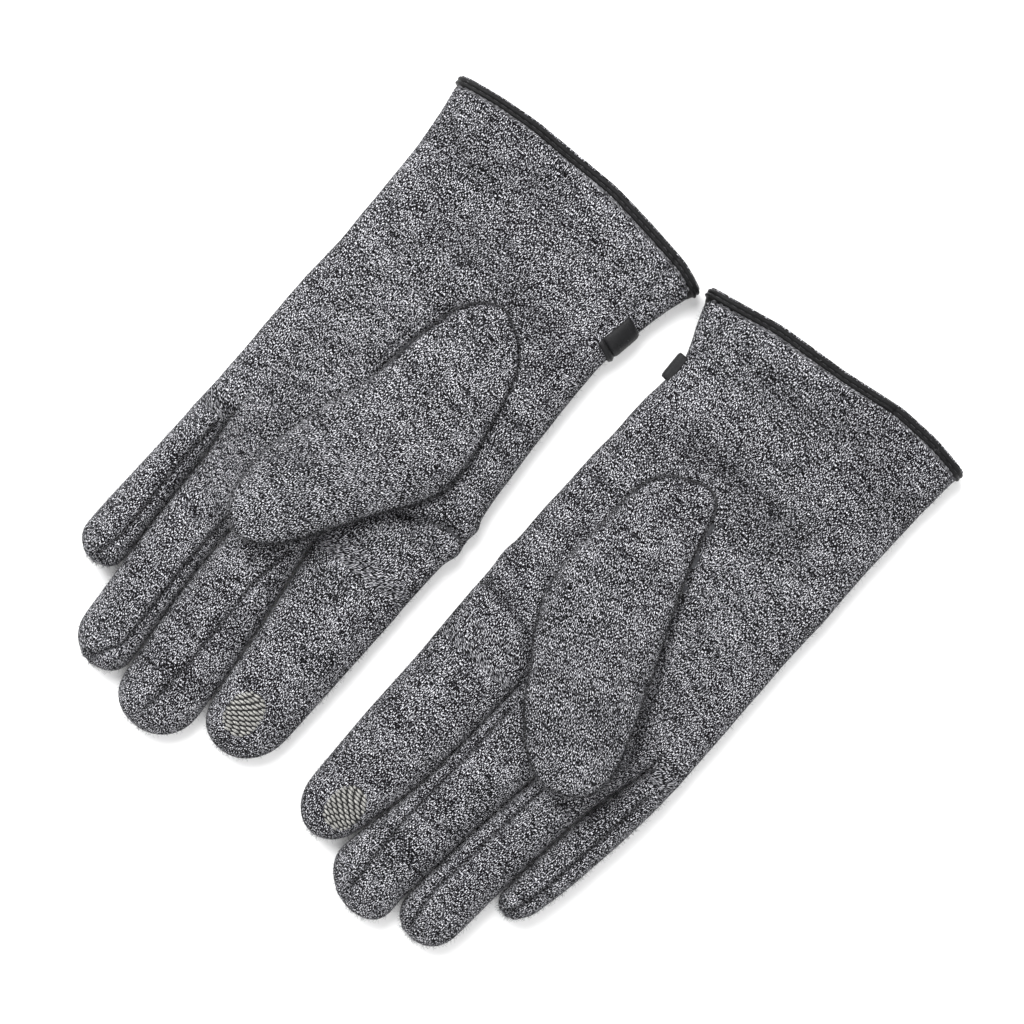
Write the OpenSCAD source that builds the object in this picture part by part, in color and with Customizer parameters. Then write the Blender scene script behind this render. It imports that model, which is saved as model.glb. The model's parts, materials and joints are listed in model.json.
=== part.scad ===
// A pair of knitted touchscreen gloves, lying flat with the palms up.
// Each glove is drawn once in its own frame: the mouth of the cuff at y = 0, fingers toward +y,
// the thumb on the -x side and the palm facing up. The right hand's glove is the mirror image.

/* [Hand] */
// Width of the cuff at its mouth
cuff_w = 114; // [104:1:124]
// Width at the wrist
wrist_w = 101; // [92:1:108]
// Width across the knuckles
palm_w = 106; // [98:1:112]
// Length from the mouth of the cuff to the roots of the fingers
hand_len = 158; // [145:1:175]
// Thickness of a glove lying flat
hand_t = 14.5; // [13:0.5:18]
// Thickness of the knit
knit_t = 1.5; // [1.2:0.1:1.8]
// Thickness of the lining
lining_t = 1; // [0.7:0.1:1.2]

/* [Fingers] */
// Finger lengths from their roots: index, middle, ring, little
finger_len = [86.5, 98.5, 90.5, 61]; // [50:0.5:110]
// How much longer the second glove's fingers have been pulled
pulled_len = 5; // [0:0.5:8]
// Space between neighbouring fingers
finger_gap = 1.6; // [1.2:0.1:2.4]
// Distance from the roots of the long fingers to their knuckles
knuckle_len = 38; // [34:1:44]
// Distance from the root of the little finger to its knuckle
little_knuckle_len = 28; // [24:1:32]
// Space between a stall and its fingertip
bend_gap = 0.4; // [0.3:0.1:0.8]

/* [Thumb] */
// Height of the thumb above the palm
thumb_t = 13.5; // [11:0.5:16]
// Space between the free thumb and the palm
thumb_gap = 0.7; // [0.5:0.1:1.5]

/* [Trim] */
// Thickness of the binding's leather
leather_t = 1.1; // [0.8:0.1:1.4]
// Height of the binding on the knit
binding_h = 3.6; // [3:0.1:5]
// Length of the lap where the binding's ends meet
lap_len = 7; // [4:1:10]
// Width of the loop tab along the side seam
tab_w = 12; // [8:1:16]
// How far the second glove's loop stands out of its seam
tab_out = 3.6; // [3:0.1:7]
// Thickness of a thread
thread_t = 0.5; // [0.4:0.1:0.6]
// Distance between stitches
stitch_pitch = 4; // [3:0.5:6]
// Width of the touch pad across the finger
pad_w = 13; // [10:0.5:14]
// Length of the touch pad along the finger
pad_len = 17; // [13:0.5:18]
// Thickness of the touch pad's yarn
pad_t = 0.8; // [0.6:0.1:1]

/* [Hidden] */

LEFT = 0;
RIGHT = 1;
HAND = ["left_", "right_"];
FINGER = ["index", "middle", "ring", "little"];
INDEX = 0;
LITTLE = 3;
KNIT = "#6f7276";
FLEECE = "#3c3d40";
LEATHER = "#1d1d1f";
YARN = "#8f9088";
THREAD = "#2a2a2c";
// The glove's place on the table, and how far the second glove is turned
glove_at = [[55.5, -127.85], [-61.6, -127.35]];
glove_turn = [0, -4];

// Where the lines between the fingers, and the two outer edges, cross the finger roots
divide_root = [[-45, -4, 22, 47, 61], [-46, -11.5, 15.5, 42, 59]];
// The same lines, divide_run further on
divide_end = [[-38.5, -9.7, 20.8, 45, 65], [-44.5, -18, 10, 35, 50]];
divide_run = 70;

// The mouth of the cuff is not square: it dips here, and rises by this much over a millimetre squared
dip_x = 20;
dip_y = -4;
dip_rise = 0.002;
dip_fade = 60;

// Segments round each side of a tube, and across its flat faces: for the hand, a finger, the thumb
side_seg = 6;
hand_seg = [side_seg, 6];
finger_seg = [side_seg, 2];
thumb_seg = [side_seg, 4];
hand_round = 9;
finger_round = 8;

cuff_zb = leather_t + thread_t + 0.2;
wall_t = knit_t + lining_t;
palm_z = hand_t;
thumb_z = palm_z + thumb_t;

// A section is [left point, right point, bottom, top, side radius]
// Stations of the hand: distance from the mouth, thumb-side edge, little-side edge, bottom
hand_rows = [
    [0, -cuff_w / 2, cuff_w / 2, cuff_zb],
    [binding_h + 1, -cuff_w / 2, cuff_w / 2, cuff_zb],
    [24, -cuff_w / 2 + 5, cuff_w / 2 - 2.5, 0],
    [48, 54 - wrist_w, 54, 0],
    [78, 55 - wrist_w, 55, 0],
    [102, 59.5 - palm_w, 58, 0],
    [126, 59 - palm_w, 59, 0],
    [hand_len, 60.5 - palm_w, 60.5, 0]
];
// The hole that the thumb is set into, as the rows and columns of the palm's cells
hole_rows = [4, 6];
hole_cols = [9, 11];

function finger_x(g, line, y) =
    divide_root[g][line]
    + (divide_end[g][line] - divide_root[g][line]) * (y - hand_len) / divide_run;
function finger_tip_y(g, f) = hand_len + finger_len[f] + (g == RIGHT ? pulled_len : 0);
function knuckle_y(f) = hand_len + (f == LITTLE ? little_knuckle_len : knuckle_len);
function side_gap(line) = line == 0 || line == 4 ? 0 : finger_gap / 2;

// One finger section at y, drawn in by wide and high toward the tip
function finger_section(g, f, y, wide = 1, high = 1) =
    let (l = finger_x(g, f, y) + side_gap(f),
         r = finger_x(g, f + 1, y) - side_gap(f + 1),
         c = (l + r) / 2,
         h = (r - l) / 2 * wide,
         lift = hand_t * (1 - high) / 2)
    [[c - h, y], [c + h, y], lift, hand_t - lift, finger_round * wide];

// A fingertip runs straight and then rounds off over this length
function tip_run(g, f) = 0.46 * (finger_x(g, f + 1, hand_len) - finger_x(g, f, hand_len));
round_steps = [0, 0.3, 0.55, 0.75, 0.9, 0.98];
function tip_sections(g, f) =
    let (y0 = knuckle_y(f) + bend_gap / 2,
         y1 = finger_tip_y(g, f),
         run = tip_run(g, f))
    concat(
        [finger_section(g, f, y0)],
        [for (t = round_steps)
            finger_section(g, f, y1 - run * (1 - t), sqrt(1 - t * t), sqrt(1 - pow(t, 5)))]
    );

// The thumb's edges from the crease back to its sewn root, and from the crease on to its tip
gusset_left = [[-16, 147], [-27, 132], [-31, 110], [-28.5, 86], [-24.5, 70], [-19, 62], [-12, 57]];
gusset_right = [[26.5, 130], [21, 117], [15, 103], [11, 82], [7.5, 67], [3, 60], [-3.5, 57]];
gusset_rise = [1, 1, 0.95, 0.8, 0.62, 0.45, 0.3];
thumb_left = [[-16, 147], [-4.5, 162], [3.5, 172.5], [9.5, 177.8], [15, 180.8]];
thumb_right = [[26.5, 130], [31, 147], [32.5, 159], [30.8, 168], [27, 174.5]];
thumb_high = [1, 1, 0.95, 0.8, 0.5];
thumb_round = 12;

function gusset_sections() =
    [for (i = [0:len(gusset_left) - 1])
        let (h = thumb_t * gusset_rise[i])
        [gusset_right[i], gusset_left[i], palm_z - h, palm_z + h, thumb_round]];
function ahead(l, r) = let (u = (r - l) / norm(r - l)) [-u.y, u.x];
function thumb_sections() =
    [for (i = [0:len(thumb_left) - 1])
        let (l = thumb_left[i],
             r = thumb_right[i],
             step = (i == 0 ? bend_gap : 0) * ahead(l, r),
             low = palm_z + thumb_gap,
             lift = (thumb_z - low) * (1 - thumb_high[i]) / 2)
        [l + step, r + step, low + lift, thumb_z - lift, thumb_round]];
function hand_sections() = [for (row = hand_rows) hand_section(row)];
function hand_section(row) = [[row[1], row[0]], [row[2], row[0]], row[3], hand_t, hand_round];
// The row of the hand at y, between the rows given above
function hand_row(y) = [for (i = [0:3]) lookup(y, [for (row = hand_rows) [row[0], row[i]]])];

// A point of a section, inset from its outside, at position j of the outline. The outline starts
// at the bottom of the right side and runs up over the top; seg = [round side, flat] segments.
function outline_point(s, inset, j, seg) =
    let (k = seg[0],
         m = seg[1],
         n = 2 * (k + m),
         i = (j + n) % n,
         mid = (s[0] + s[1]) / 2,
         across = (s[1] - s[0]) / norm(s[1] - s[0]),
         hw = max(norm(s[1] - s[0]) / 2 - inset, 0.5),
         round = min(max(s[4] - inset, 0.3), hw - 0.1),
         flat = hw - round,
         hz = max((s[3] - s[2]) / 2 - inset, 0.3),
         zc = (s[3] + s[2]) / 2,
         a = 180 / k * (i < k + m ? min(i, k) : i < 2 * k + m ? i - m : 2 * k) - 90,
         x = i <= k ? flat + round * cos(a)
           : i < k + m ? flat * (1 - 2 * (i - k) / m)
           : i <= 2 * k + m ? -flat + round * cos(a)
           : flat * (2 * (i - 2 * k - m) / m - 1))
    [each (mid + across * x), zc + hz * sin(a)];

// The cuff's mouth dips, and the dip fades out toward the wrist
function dipped(p) =
    [p.x, p.y + (dip_y + dip_rise * pow(p.x - dip_x, 2)) * max(0, 1 - p.y / dip_fade), p.z];
function same(p) = p;

// Rings of points for the sections; a closed end is set back by the inset so that walls stay thick
function rings(sections, inset, seg, bend = function(p) same(p), setback = 0) =
    let (n = 2 * (seg[0] + seg[1]), last = len(sections) - 1)
    [for (i = [0:last])
        let (s = sections[i],
             back = ahead(s[0], s[1]) * setback * pow(i / last, 3),
             moved = [s[0] - back, s[1] - back, s[2], s[3], s[4]])
        [for (j = [0:n - 1]) bend(outline_point(moved, inset, j, seg))]];

// A wall between two sets of rings. keep(i, j) says which cells exist, and every edge between a
// kept cell and a missing one gets a wall across the thickness. close_last shuts the far end.
module wall(outer, inner, keep = function(i, j) true, close_last = false) {
    rows = len(outer);
    n = len(outer[0]);
    kept = function(i, j) i >= 0 && i < rows - 1 && keep(i, (j + n) % n);
    o = function(i, j) i * n + (j + n) % n;
    q = function(i, j) rows * n + o(i, j);
    skin = [for (i = [0:rows - 2], j = [0:n - 1]) if (kept(i, j)) each [
        [o(i, j), o(i, j + 1), o(i + 1, j + 1)], [o(i, j), o(i + 1, j + 1), o(i + 1, j)],
        [q(i, j), q(i + 1, j + 1), q(i, j + 1)], [q(i, j), q(i + 1, j), q(i + 1, j + 1)]]];
    sides = [for (i = [0:rows - 2], j = [0:n - 1]) if (kept(i, j)) each concat(
        kept(i, j - 1) ? [] : [
            [o(i, j), o(i + 1, j), q(i + 1, j)], [o(i, j), q(i + 1, j), q(i, j)]],
        kept(i, j + 1) ? [] : [
            [o(i + 1, j + 1), o(i, j + 1), q(i, j + 1)],
            [o(i + 1, j + 1), q(i, j + 1), q(i + 1, j + 1)]],
        kept(i - 1, j) ? [] : [
            [o(i, j + 1), o(i, j), q(i, j)], [o(i, j + 1), q(i, j), q(i, j + 1)]],
        kept(i + 1, j) || (close_last && i == rows - 2) ? [] : [
            [o(i + 1, j), o(i + 1, j + 1), q(i + 1, j + 1)],
            [o(i + 1, j), q(i + 1, j + 1), q(i + 1, j)]])];
    last = rows - 1;
    cols = [for (k = [0:n - 1])
        let (j = (k + side_seg / 2) % n)
        if (kept(last - 1, j) || kept(last - 1, j - 1)) j];
    count = len(cols);
    ends = !close_last ? [] : concat(
        [[for (j = cols) o(last, j)], [for (k = [count - 1:-1:0]) q(last, cols[k])]],
        count == n ? [] : [[o(last, cols[0]), o(last, cols[count - 1]),
                            q(last, cols[count - 1]), q(last, cols[0])]]);
    used = concat(skin, sides, ends);
    polyhedron(points = concat([for (r = outer) each r], [for (r = inner) each r]), faces = used);
}

// A solid ring with the given cross-sections, closed both ways
module hoop(loops) {
    rows = len(loops);
    n = len(loops[0]);
    at = function(i, j) (i % rows) * n + j % n;
    polyhedron(
        points = [for (loop = loops) each loop],
        faces = [for (i = [0:rows - 1], j = [0:n - 1]) each [
            [at(i, j), at(i + 1, j), at(i + 1, j + 1)], [at(i, j), at(i + 1, j + 1), at(i, j + 1)]]]
    );
}

module placed(g) {
    translate(glove_at[g]) rotate([0, 0, glove_turn[g]]) mirror([g == RIGHT ? 1 : 0, 0, 0]) children();
}

function is_top(j, seg) = j >= seg[0] / 2 && j < 3 * seg[0] / 2 + seg[1];
function in_hole(i, j) =
    i >= hole_rows[0] && i < hole_rows[1] && j >= hole_cols[0] && j < hole_cols[1];

// Cells of a finger's outline that belong to the strip on its little side and on its thumb side
side_cells = [1, 4];
far_cells = [9, 12];
function on_side(j) = j >= side_cells[0] && j <= side_cells[1];
function on_far_side(j) = j >= far_cells[0] && j <= far_cells[1];
function on_fourchette(f, j) = (f < LITTLE && on_side(j)) || (f > INDEX && on_far_side(j));

module hand_wall(from, to, keep) {
    wall(
        rings(hand_sections(), from, hand_seg, function(p) dipped(p)),
        rings(hand_sections(), to, hand_seg, function(p) dipped(p)),
        keep
    );
}

module palm_panel(g) {
    color(KNIT) placed(g)
        hand_wall(0, knit_t, function(i, j) is_top(j, hand_seg) && !in_hole(i, j));
}

module back_panel(g) {
    color(KNIT) placed(g) hand_wall(0, knit_t, function(i, j) !is_top(j, hand_seg));
}

module hand_lining(g) {
    color(FLEECE) placed(g) hand_wall(knit_t, wall_t, function(i, j) !in_hole(i, j));
}

function stall_sections(g, f) = [
    finger_section(g, f, hand_len),
    finger_section(g, f, knuckle_y(f) - bend_gap / 2)
];

module stall_wall(g, f, from, to, keep = function(i, j) true) {
    wall(
        rings(stall_sections(g, f), from, finger_seg),
        rings(stall_sections(g, f), to, finger_seg),
        keep
    );
}

module stall(g, f) {
    color(KNIT) placed(g) stall_wall(g, f, 0, knit_t, function(i, j) !on_fourchette(f, j));
}

// The strip between finger f and the next one: a side wall of each, and the web at their roots
web_t = 3;
web_gap = 0.05;
function web_section(s) = [s[0], s[1], s[2] + web_gap, s[3] - web_gap, s[4]];
module fourchette(g, f) {
    side = finger_seg[0];
    far = 2 * side + finger_seg[1];
    web = [for (y = [hand_len, hand_len + web_t])
        [web_section(finger_section(g, f, y)), web_section(finger_section(g, f + 1, y))]];
    color(KNIT) placed(g) {
        stall_wall(g, f, 0, knit_t, function(i, j) on_side(j));
        stall_wall(g, f + 1, 0, knit_t, function(i, j) on_far_side(j));
        wall(
            [for (s = web) [for (j = [0:side]) outline_point(s[1], -web_gap, far - j, finger_seg)]],
            [for (s = web) [for (j = [0:side]) outline_point(s[0], -web_gap, j, finger_seg)]],
            function(i, j) j < side
        );
    }
}

module finger_linings(g) {
    color(FLEECE) placed(g)
        for (f = [INDEX:LITTLE])
            stall_wall(g, f, knit_t, wall_t);
}

module cup(sections, seg, from, to) {
    wall(
        rings(sections, from, seg, setback = from),
        rings(sections, to, seg, setback = to),
        close_last = true
    );
}

module tip(g, f) {
    color(KNIT) placed(g) cup(tip_sections(g, f), finger_seg, 0, knit_t);
}

module tip_lining(g, f) {
    color(FLEECE) placed(g) cup(tip_sections(g, f), finger_seg, knit_t, wall_t);
}

module thumb(g) {
    color(KNIT) placed(g) cup(thumb_sections(), thumb_seg, 0, knit_t);
}

module thumb_lining(g) {
    color(FLEECE) placed(g) cup(thumb_sections(), thumb_seg, knit_t, wall_t);
}

module gusset_wall(from, to) {
    wall(
        rings(gusset_sections(), from, thumb_seg, setback = from),
        rings(gusset_sections(), to, thumb_seg, setback = to),
        function(i, j) is_top(j, thumb_seg),
        close_last = true
    );
}

module thumb_gusset(g) {
    color(KNIT) placed(g) gusset_wall(0, knit_t);
}

module gusset_lining(g) {
    color(FLEECE) placed(g) gusset_wall(knit_t, wall_t);
}

// Yarn darned over the palm side of the index fingertip
pad_back = 16.5;
module touch_pad(g) {
    y = finger_tip_y(g, INDEX) - pad_back;
    x = (finger_x(g, INDEX, y) + finger_x(g, INDEX + 1, y) - side_gap(1)) / 2;
    color(YARN) placed(g)
        translate([x, y, hand_t])
            linear_extrude(pad_t)
                polygon([for (a = [0:15:345]) [pad_w / 2 * cos(a), pad_len / 2 * sin(a)]]);
}

// The leather's cross-section: [distance out from the knit, distance from the mouth]
binding_profile = [
    [0, binding_h], [0, 0], [-wall_t, 0], [-wall_t, binding_h],
    [-wall_t - leather_t, binding_h], [-wall_t - leather_t, 0],
    [-wall_t - leather_t / 2, -leather_t], [leather_t / 2, -leather_t],
    [leather_t, 0], [leather_t, binding_h]
];
module cuff_binding(g) {
    mouth = hand_section(hand_rows[0]);
    shift = function(s, y) [s[0] + [0, y], s[1] + [0, y], s[2], s[3], s[4]];
    color(LEATHER) placed(g)
        hoop([for (j = [0:2 * (hand_seg[0] + hand_seg[1]) - 1])
            [for (p = binding_profile) dipped(outline_point(shift(mouth, p.y), -p.x, j, hand_seg))]]);
}

// A run of the binding's face between two places across the cuff, as an outline seen from above
function binding_face(x0, x1, y0, y1) = [
    each [for (p = [[x0, y0], [x1, y0], [x1, y1], [x0, y1]]) let (q = dipped([p.x, p.y, 0])) [q.x, q.y]]
];
// Where a piece of thickness t lies on the binding: on the palm's face or under the back's
function on_binding(palm_side, t) = palm_side ? hand_t + leather_t : cuff_zb - leather_t - t;
lap_x = 19;
lap_t = 0.5;
module binding_lap(g) {
    color(LEATHER) placed(g)
        translate([0, 0, on_binding(g == RIGHT, lap_t)])
            linear_extrude(lap_t)
                polygon(binding_face(lap_x - lap_len / 2, lap_x + lap_len / 2, 0, binding_h));
}

stitch_w = 0.6;
stitch_y = 2.9;
module binding_stitches(g) {
    reach = cuff_w / 2 - hand_round - stitch_pitch;
    stitch_len = 0.6 * stitch_pitch;
    count = floor(reach / stitch_pitch);
    color(THREAD) placed(g)
        for (palm_side = [true, false], k = [-count:count]) {
            x = k * stitch_pitch;
            if (palm_side != (g == RIGHT) || abs(x - lap_x) > (lap_len + stitch_len) / 2 + 0.2)
                translate([0, 0, on_binding(palm_side, thread_t)])
                    linear_extrude(thread_t)
                        polygon(binding_face(x - stitch_len / 2, x + stitch_len / 2,
                                             stitch_y - stitch_w / 2, stitch_y + stitch_w / 2));
        }
}

// The loop is sewn into the seam on the thumb's side: laid over the palm's edge on the left hand,
// standing out of the seam on the right
tab_y = 38.5;
tab_gap = 0.2;
tab_cells = [12, 15];
tab_half = 1.9;
module loop_tab(g) {
    rows = [for (y = [tab_y - tab_w / 2, tab_y + tab_w / 2]) hand_row(y)];
    sections = [for (row = rows) hand_section(row)];
    foot = [for (row = rows) dipped([row[1] - tab_gap, row[0], hand_t / 2])];
    along = foot[1] - foot[0];
    color(LEATHER) placed(g)
        if (g == LEFT)
            wall(
                rings(sections, -tab_gap - leather_t, hand_seg, function(p) dipped(p)),
                rings(sections, -tab_gap, hand_seg, function(p) dipped(p)),
                function(i, j) j >= tab_cells[0] && j <= tab_cells[1]
            );
        else
            translate(foot[0])
                rotate([-90, 0, -atan2(along.x, along.y)])
                    linear_extrude(norm(along))
                        difference() {
                            loop_outline(tab_half);
                            loop_outline(tab_half - leather_t);
                        }
}

module loop_outline(half) {
    end = tab_out - tab_half;
    translate([-end, 0]) circle(half, $fn = 32);
    translate([-end, -half]) square([end, 2 * half]);
}

for (g = [LEFT, RIGHT]) {
    palm_panel(g);
    back_panel(g);
    hand_lining(g);
    finger_linings(g);
    for (f = [INDEX:LITTLE]) {
        stall(g, f);
        tip(g, f);
        tip_lining(g, f);
    }
    for (f = [INDEX:LITTLE - 1])
        fourchette(g, f);
    touch_pad(g);
    thumb_gusset(g);
    gusset_lining(g);
    thumb(g);
    thumb_lining(g);
    cuff_binding(g);
    binding_lap(g);
    binding_stitches(g);
    loop_tab(g);
}
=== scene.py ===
"""A pair of heather-grey knitted touchscreen gloves, lying palms up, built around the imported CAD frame.

Each glove is drawn in millimetres in its own frame: the cuff's mouth at y = 0, fingers toward +y,
the thumb on the -x side and the palm up. The right glove is mirrored as it is placed.
"""

import json
import math

import bmesh
import bpy
import numpy as np
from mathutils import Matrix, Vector


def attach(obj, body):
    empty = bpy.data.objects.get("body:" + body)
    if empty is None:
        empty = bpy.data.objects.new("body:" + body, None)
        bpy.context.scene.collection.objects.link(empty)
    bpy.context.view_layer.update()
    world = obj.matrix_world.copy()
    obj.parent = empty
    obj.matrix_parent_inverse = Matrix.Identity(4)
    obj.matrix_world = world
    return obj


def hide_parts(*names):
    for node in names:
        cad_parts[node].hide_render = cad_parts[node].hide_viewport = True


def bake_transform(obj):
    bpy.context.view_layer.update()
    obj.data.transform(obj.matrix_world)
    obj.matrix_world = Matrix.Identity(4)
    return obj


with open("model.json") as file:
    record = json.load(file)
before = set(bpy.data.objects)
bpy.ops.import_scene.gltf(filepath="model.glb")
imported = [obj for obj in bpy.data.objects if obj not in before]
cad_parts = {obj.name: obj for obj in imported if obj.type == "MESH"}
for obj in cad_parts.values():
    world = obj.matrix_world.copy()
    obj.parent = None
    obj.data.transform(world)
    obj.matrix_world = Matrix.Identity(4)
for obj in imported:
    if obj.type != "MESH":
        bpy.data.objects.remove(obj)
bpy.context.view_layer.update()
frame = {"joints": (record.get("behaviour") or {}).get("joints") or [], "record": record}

JOINTS = {j["name"]: j for j in frame["joints"]}
MOUNTS = {m["name"]: m for m in frame["record"]["mounts"]}

MM = 0.001
FINGERS = ("index", "middle", "ring", "little")

# ---------------------------------------------------------------- the two gloves' outlines, in mm
# edge, side, gaps, seams: (distance from the mouth, x) along the glove's two outer edges, the gaps
#     between its fingers and the seams of its fingers' side strips
# tips: the fingertips' foremost points
# thumb: chords across the thumb from its root: x, y on its thumb side, x, y on the other, height
# folds, under: points, depth, width of the palm's and the back's creases and hollows
# mouth: (x, y) along the cuff's edge
# pad: the touch pad's middle, from the index fingertip
# crease_at: how far along the thumb it comes free of the palm
# sewn: the chords up to which the thumb is sewn in, on each side
# crisp: how strong the painted shadow along the thumb's outline is at each chord, on each side
LEFT = {
    "name": "left",
    "mirror": 1,
    "seed": 11,
    "edge": [(-6, -57.5), (8, -57.5), (20, -53.5), (35, -50), (50, -46.5), (62, -46), (90, -46),
             (112, -46.5), (126, -47.5), (134, -48.5), (142, -46.5), (162, -45), (192, -43),
             (222, -41), (260, -38)],
    "side": [(-6, 57.5), (0, 57.5), (17, 55), (32, 54.5), (72, 55), (92, 57), (112, 58), (132, 59),
             (152, 60), (172, 61.5), (202, 64), (230, 65)],
    "gaps": [
        [(164, -4), (186, -6.5), (200, -8), (220, -9.5), (235, -10.5), (260, -11)],
        [(172, 22), (200, 22.8), (220, 22), (235, 21), (260, 20)],
        [(150, 47), (165, 46), (190, 46.3), (213, 45.6), (250, 44.5)],
    ],
    "tips": [(-24, 244.5), (6, 256.6), (31.5, 248.7), (54, 219)],
    "seams": [
        None,
        [(172, 0), (190, 3.2), (225, 3.6), (250, 6)],
        [(176, 25), (200, 26.5), (235, 26.5), (246, 33)],
        [(152, 49), (170, 50.5), (205, 51), (216, 54)],
    ],
    "thumb": [
        (-9, 57, -5, 56.5, 14), (-17, 62, 1.5, 60, 14.9), (-24, 70, 7, 67.5, 15.8),
        (-28, 86, 11, 82, 17.3), (-30, 98, 14, 98, 18.8), (-31.2, 109, 17, 110, 20.4),
        (-30.8, 119.5, 21.3, 121, 22.2), (-26.4, 129.5, 25, 132.5, 24.2),
        (-18.4, 140.2, 27.4, 142, 25.6), (-11.8, 149.5, 28.8, 149.5, 26.3),
        (-6, 158, 29.6, 157.5, 26.5), (-0.6, 166.5, 29.5, 165, 26.2), (4.6, 172.8, 27.7, 171.5, 25.4),
        (11, 177.2, 23.8, 176, 23.8), (17, 179.3, 18.5, 179.1, 21),
    ],
    "folds": [
        ([(-50, 132.5), (-46, 131.2), (-40.5, 130.9), (-33, 133.2), (-27, 135.8), (-21, 139)],
         2.0, 1.15),
        ([(-49, 137), (-40, 136.5), (-31, 140), (-22, 147)], -0.7, 3.0),
        ([(-50, 125), (-42, 125.5), (-35, 127.5)], -1.3, 3.0),
        ([(-27, 135.8), (-22, 136), (-17, 142), (-10, 153)], 1.2, 1.6),
        ([(15.5, 103), (13.6, 92), (10.6, 77), (6, 66), (-1, 58.5)], 1.3, 0.9),
        ([(17.5, 100), (16, 88), (13, 76), (8.5, 66)], 0.9, 0.9),
        ([(22, 101), (20.5, 86), (16, 70), (8, 59)], -0.5, 2.6),
        ([(23, 122), (25, 138)], 0.35, 1.6),
        ([(-33, 68), (-36, 56), (-38.5, 40), (-43, 28), (-44.5, 4)], 0.8, 1.0),
        ([(20, 46), (-6, 49), (-24, 53)], 0.6, 7.0),
        ([(0, 12), (30, 22), (56, 20)], 0.5, 7.0),
    ],
    "under": [([(-40, 150), (0, 140), (50, 138)], 0.5, 8.0)],
    "mouth": [(-58, 7), (-48, 3), (-32, 0), (-12, -3), (24, -4), (40, -3), (57, -1)],
    "tab": "flat",
    "lap_up": False,
    "pad": (0.8, -16.3),
    "crease_at": 0.58,
    "sewn": (7, 5),
    "crisp": ([1, 1, 1, 1, 1, 1, 1, 1, 1, 1, 1, 1, 0.9, 0.8, 0.8],
              [1, 1, 1, 1, 0.8, 0.3, 0.1, 0.1, 0.3, 0.5, 0.6, 0.7, 0.8, 0.8, 0.8]),
}
RIGHT = {
    "name": "right",
    "mirror": -1,
    "seed": 29,
    "edge": [(-6, -57), (8, -55.5), (20, -51.5), (27, -48.3), (33, -46), (42, -46), (52, -46.9),
             (85, -47.2), (142, -47.2), (175, -45.9), (205, -45.8), (235, -44.7), (262, -42)],
    "side": [(-6, 56.6), (8, 55.7), (28, 54.9), (48, 54.5), (88, 54.8), (108, 55.2), (130, 55.9),
             (153, 56.2), (178, 54.3), (203, 51.2), (219, 48), (240, 45)],
    "gaps": [
        [(165, -11.5), (190, -12.2), (213, -14), (238, -18.9), (262, -22)],
        [(170, 16.2), (181, 15.7), (211, 11.8), (246, 9.2), (270, 8)],
        [(154, 43.5), (179, 37.6), (210, 34.7), (225, 33.8), (260, 32)],
    ],
    "tips": [(-31.6, 250), (-1.8, 261.3), (20.8, 254.2), (40, 225.3)],
    "seams": [
        None,
        [(168, -8.5), (190, -8.6), (223, -10), (255, -8)],
        [(174, 20), (200, 18), (235, 15), (250, 17)],
        [(158, 50), (180, 47.8), (209, 44.6), (223, 41)],
    ],
    "thumb": [
        (-11, 62.5, -6.5, 62, 14), (-18, 65.5, -2, 65, 14.9), (-23.8, 70, 0.5, 71, 15.7),
        (-27.6, 79, 3.3, 80.5, 16.7), (-28.5, 92, 7.5, 92, 18.2), (-28.7, 104, 12, 103.5, 19.7),
        (-29.4, 115, 16.5, 113.5, 21.2), (-27.3, 129, 22, 126, 23), (-20.5, 143, 27, 138.5, 24.9),
        (-15, 150, 30.5, 147.5, 26), (-7.4, 161.5, 34.5, 158, 26.5), (-1.5, 169, 35.4, 166.5, 26.2),
        (5, 175, 32.7, 173.6, 25.4), (12, 178.8, 27, 178, 23.8), (18, 180.3, 20, 180.2, 21),
    ],
    "folds": [
        ([(-46, 141), (-38, 140.5), (-24, 143.5), (-15, 151), (-6, 164)], 1.3, 2.2),
        ([(-46, 128), (-34, 130), (-26, 136)], -0.8, 4.5),
        ([(2, 71), (5, 82), (9, 92), (14, 104), (23, 122), (31, 141), (38, 157)], 1.5, 1.3),
        ([(10, 80), (18, 98), (28, 120), (38, 142)], -0.5, 3.2),
        ([(-32, 94), (-31, 112), (-29, 126)], 0.4, 2.0),
        ([(-22, 55), (-2, 53), (22, 56)], 0.8, 8.0),
        ([(-44, 10), (-43, 30)], 0.5, 1.6),
        ([(-20, 20), (20, 12), (50, 24)], 0.5, 8.0),
    ],
    "under": [([(-44, 152), (0, 142), (52, 136)], 0.5, 8.0)],
    "mouth": [(-57, 7), (-48, 5.5), (-28, 1), (0, -2), (24, -6), (40, -6), (57, -4)],
    "tab": "loop",
    "lap_up": True,
    "pad": (3.2, -15.5),
    "crease_at": 0.60,
    "sewn": (5, 9),
    "crisp": ([1, 1, 1, 0.9, 0.5, 0.2, 0.2, 0.6, 1, 1, 1, 1, 1, 0.9, 0.8],
              [1, 1, 1, 1, 1, 1, 1, 1, 1, 1, 1, 1, 1, 0.9, 0.8]),
}

PALM_TOP = 14.2
CROWN = 2.0
EDGE_Z = 6.2
FLOOR_Z = 0.25
BEND_Z = 14.0
GAP_HALF = 0.3
CROTCH_VALLEY = 22.0
CUFF_DIP = -4
KNIT_DEPTH = 2.4
# the width of the painted shadow along the thumb's outline
OUTLINE_SHADOW_WIDTH = 0.85
# columns and rows of the skins
COLS = 44
HAND_ROWS = 132
FINGER_ROWS = 96
TIP_ROWS = 16
THUMB_COLS = 56
THUMB_ROWS = 120
# loose fibres of each skin
FINGER_HAIRS = 1500
HAND_HAIRS = 4600
THUMB_HAIRS = 1800
# one stitch of the knit
WALE = 1.37
COURSE = 1.3
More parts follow.
